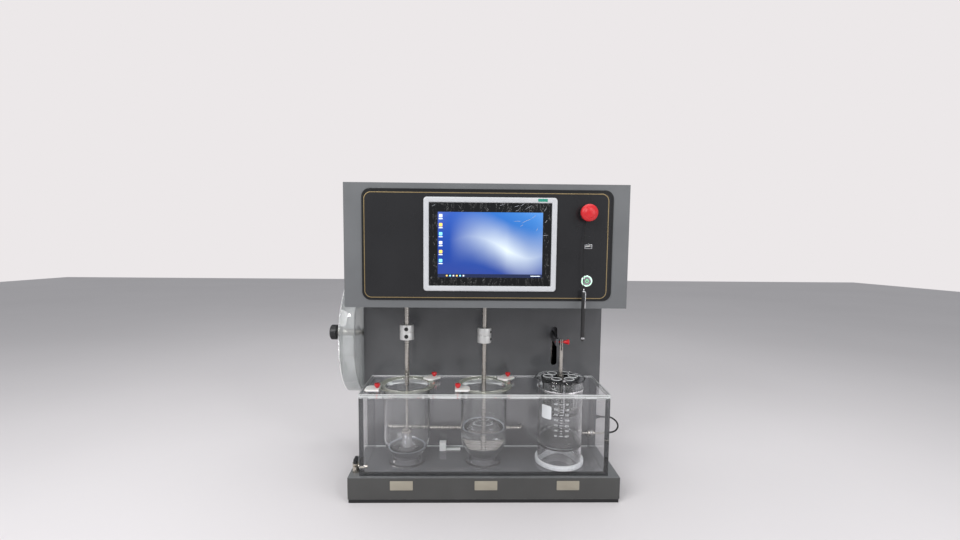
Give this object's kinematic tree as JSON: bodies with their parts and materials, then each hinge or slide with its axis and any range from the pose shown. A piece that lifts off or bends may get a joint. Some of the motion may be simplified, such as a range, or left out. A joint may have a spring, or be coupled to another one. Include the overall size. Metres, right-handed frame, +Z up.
{
  "type": "tablet tester with heated water bath, dipping rack and tumbling drum",
  "caption": "Bench tablet tester: dark steel case with screen, clear water bath with stirred glass vessels and a dipping rack in a beaker, clear drum on its side.",
  "frame": {"origin": "centre of the base's underside, on the bench", "axes": "+X to the right seen from the front, +Y to the back, +Z up; the screen faces -Y"},
  "size_m": [0.7475, 0.429, 0.695],
  "materials": {
    "case_paint": "satin",
    "column_paint": "satin",
    "plinth_black": "matte",
    "panel_black": "gloss",
    "bezel_silver": "satin",
    "screen": "gloss",
    "plated_steel": "polished",
    "shaft_steel": "ground",
    "stop_collar": "satin",
    "signal_red": "gloss",
    "button_green": "satin",
    "clear_acrylic": "polished",
    "clear_glass": "polished",
    "clip_white": "satin",
    "nozzle_white": "satin",
    "aluminium_parts": "machined",
    "motor_black": "satin",
    "belt_rubber": "matte",
    "cable_rubber": "satin",
    "fitting_black": "satin",
    "knob_black": "satin",
    "rack_plastic": "satin",
    "valve_brass": "nickel plated"
  },
  "bodies": {
    "case": {"base_shell": "case_paint", "base_plinth": "plinth_black", "column_shell": "column_paint", "rear_cover": "case_paint", "head_shell": "case_paint", "front_panel": "panel_black", "screen_bezel": "bezel_silver", "screen_display": "screen", "usb_socket": "plated_steel", "estop_collar": "stop_collar", "power_button_ring": "plated_steel", "spindle_bearings": "aluminium_parts", "stepper_motors": "motor_black", "timing_belt": "belt_rubber", "lift_frame": "aluminium_parts", "friability_motor": "motor_black", "electronics": "aluminium_parts", "mains_inlet": "fitting_black", "bath_tank": "clear_acrylic", "vessel_stands": "clear_acrylic", "heater_tube": "shaft_steel", "circulation_pump": "fitting_black", "circulation_nozzle": "nozzle_white", "temperature_probe": "shaft_steel", "cable_grommet": "fitting_black", "probe_cable": "cable_rubber", "drain_valve": "valve_brass"},
    "bath_cover": {"bath_lid": "clear_acrylic", "vessel_left": "clear_glass", "vessel_middle": "clear_glass", "clip_thumb_screws": "signal_red"},
    "clip_left_front": {"vessel_clip_left_front": "clip_white"},
    "clip_left_back": {"vessel_clip_left_back": "clip_white"},
    "clip_middle_front": {"vessel_clip_middle_front": "clip_white"},
    "clip_middle_back": {"vessel_clip_middle_back": "clip_white"},
    "beaker": {"beaker": "clear_glass"},
    "stop_stem": {"estop_stem": "signal_red"},
    "stop_cap": {"estop_cap": "signal_red"},
    "power_button": {"power_button": "button_green"},
    "tether": {"stylus_tether": "cable_rubber"},
    "stylus": {"stylus": "knob_black"},
    "basket_drive": {"basket_spindle": "shaft_steel", "basket_coupling": "shaft_steel", "basket_shaft": "shaft_steel", "dissolution_basket": "shaft_steel"},
    "paddle_drive": {"paddle_spindle": "shaft_steel", "paddle_coupling": "shaft_steel", "paddle_shaft": "shaft_steel"},
    "motor_pulley": {"motor_pulley": "aluminium_parts"},
    "lift": {"lift_carriage": "aluminium_parts", "rack_hanger": "shaft_steel", "rack_plates": "rack_plastic", "rack_tubes": "clear_glass"},
    "lift_knob": {"lift_thumb_screw": "signal_red"},
    "lift_screw": {"lift_screw": "shaft_steel"},
    "drum": {"drum_shell": "clear_acrylic", "drum_cover": "clear_acrylic", "drum_shaft": "shaft_steel"},
    "drum_knob": {"drum_knob": "knob_black"},
    "drain_lever": {"drain_lever": "fitting_black"}
  },
  "joints": [
    {"name": "bath_lid_lift", "type": "slide", "parent": "case", "child": "bath_cover", "axis": [0, 0, 1], "range_m": [0, 0.012]},
    {"name": "clip_left_front_swivel", "type": "hinge", "parent": "bath_cover", "child": "clip_left_front", "pos_m": [-0.23789, -0.15279, 0.25], "axis": [0, 0, 1], "range_deg": [-142, 0]},
    {"name": "clip_left_back_swivel", "type": "hinge", "parent": "bath_cover", "child": "clip_left_back", "pos_m": [-0.11811, -0.05921, 0.25], "axis": [0, 0, 1], "range_deg": [0, 90]},
    {"name": "clip_middle_front_swivel", "type": "hinge", "parent": "bath_cover", "child": "clip_middle_front", "pos_m": [-0.05989, -0.15279, 0.25], "axis": [0, 0, 1], "range_deg": [0, 90]},
    {"name": "clip_middle_back_swivel", "type": "hinge", "parent": "bath_cover", "child": "clip_middle_back", "pos_m": [0.05989, -0.05921, 0.25], "axis": [0, 0, 1], "range_deg": [0, 90]},
    {"name": "beaker_lift", "type": "slide", "parent": "case", "child": "beaker", "axis": [0, 0, 1], "range_m": [0, 0.02]},
    {"name": "stop_push", "type": "slide", "parent": "case", "child": "stop_stem", "axis": [0, 1, 0], "range_m": [0, 0.005]},
    {"name": "stop_twist", "type": "hinge", "parent": "stop_stem", "child": "stop_cap", "pos_m": [0.209, -0.2, 0.635], "axis": [0, 1, 0], "range_deg": [0, 45]},
    {"name": "power_press", "type": "slide", "parent": "case", "child": "power_button", "axis": [0, 1, 0], "range_m": [0, 0.0025], "stiffness_N_per_m": 400, "springref_m": -0.002},
    {"name": "tether_swing", "type": "hinge", "parent": "case", "child": "tether", "pos_m": [0.206, -0.188, 0.623], "axis": [0, 1, 0], "range_deg": [-15, 15]},
    {"name": "stylus_swing", "type": "hinge", "parent": "tether", "child": "stylus", "pos_m": [0.2026, -0.198, 0.4767], "axis": [-1, 0, 0], "range_deg": [-8, 30]},
    {"name": "basket_spin", "type": "hinge", "parent": "case", "child": "basket_drive", "pos_m": [-0.178, -0.106, 0.4], "axis": [0, 0, 1], "continuous": true},
    {"name": "paddle_spin", "type": "hinge", "parent": "case", "child": "paddle_drive", "pos_m": [0, -0.106, 0.4], "axis": [0, 0, 1], "continuous": true},
    {"name": "motor_spin", "type": "hinge", "parent": "case", "child": "motor_pulley", "pos_m": [-0.089, -0.06, 0.49], "axis": [0, 0, 1], "continuous": true},
    {"name": "rack_lift", "type": "slide", "parent": "case", "child": "lift", "axis": [0, 0, 1], "range_m": [-0.049, 0.006]},
    {"name": "lift_screw_turn", "type": "hinge", "parent": "case", "child": "lift_screw", "pos_m": [0.178, 0.012, 0.34], "axis": [0, 0, 1], "range_deg": [-110, 885]},
    {"name": "lift_knob_turn", "type": "hinge", "parent": "lift", "child": "lift_knob", "pos_m": [0.178, -0.106, 0.346], "axis": [1, 0, 0], "range_deg": [0, 360]},
    {"name": "drum_spin", "type": "hinge", "parent": "case", "child": "drum", "pos_m": [-0.3215, 0.065, 0.335], "axis": [1, 0, 0], "continuous": true},
    {"name": "drum_knob_turn", "type": "hinge", "parent": "drum", "child": "drum_knob", "pos_m": [-0.391, 0.065, 0.335], "axis": [1, 0, 0], "range_deg": [0, 360]},
    {"name": "drain_lever_turn", "type": "hinge", "parent": "case", "child": "drain_lever", "pos_m": [-0.2875, -0.152, 0.082], "axis": [0, 0, 1], "range_deg": [0, 90]}
  ],
  "couplings": [
    {"joint": "paddle_spin", "follows": "basket_spin", "ratio": 1},
    {"joint": "motor_spin", "follows": "basket_spin", "ratio": 2.0833},
    {"joint": "lift_screw_turn", "follows": "rack_lift", "rad_per_m": -314.16}
  ]
}
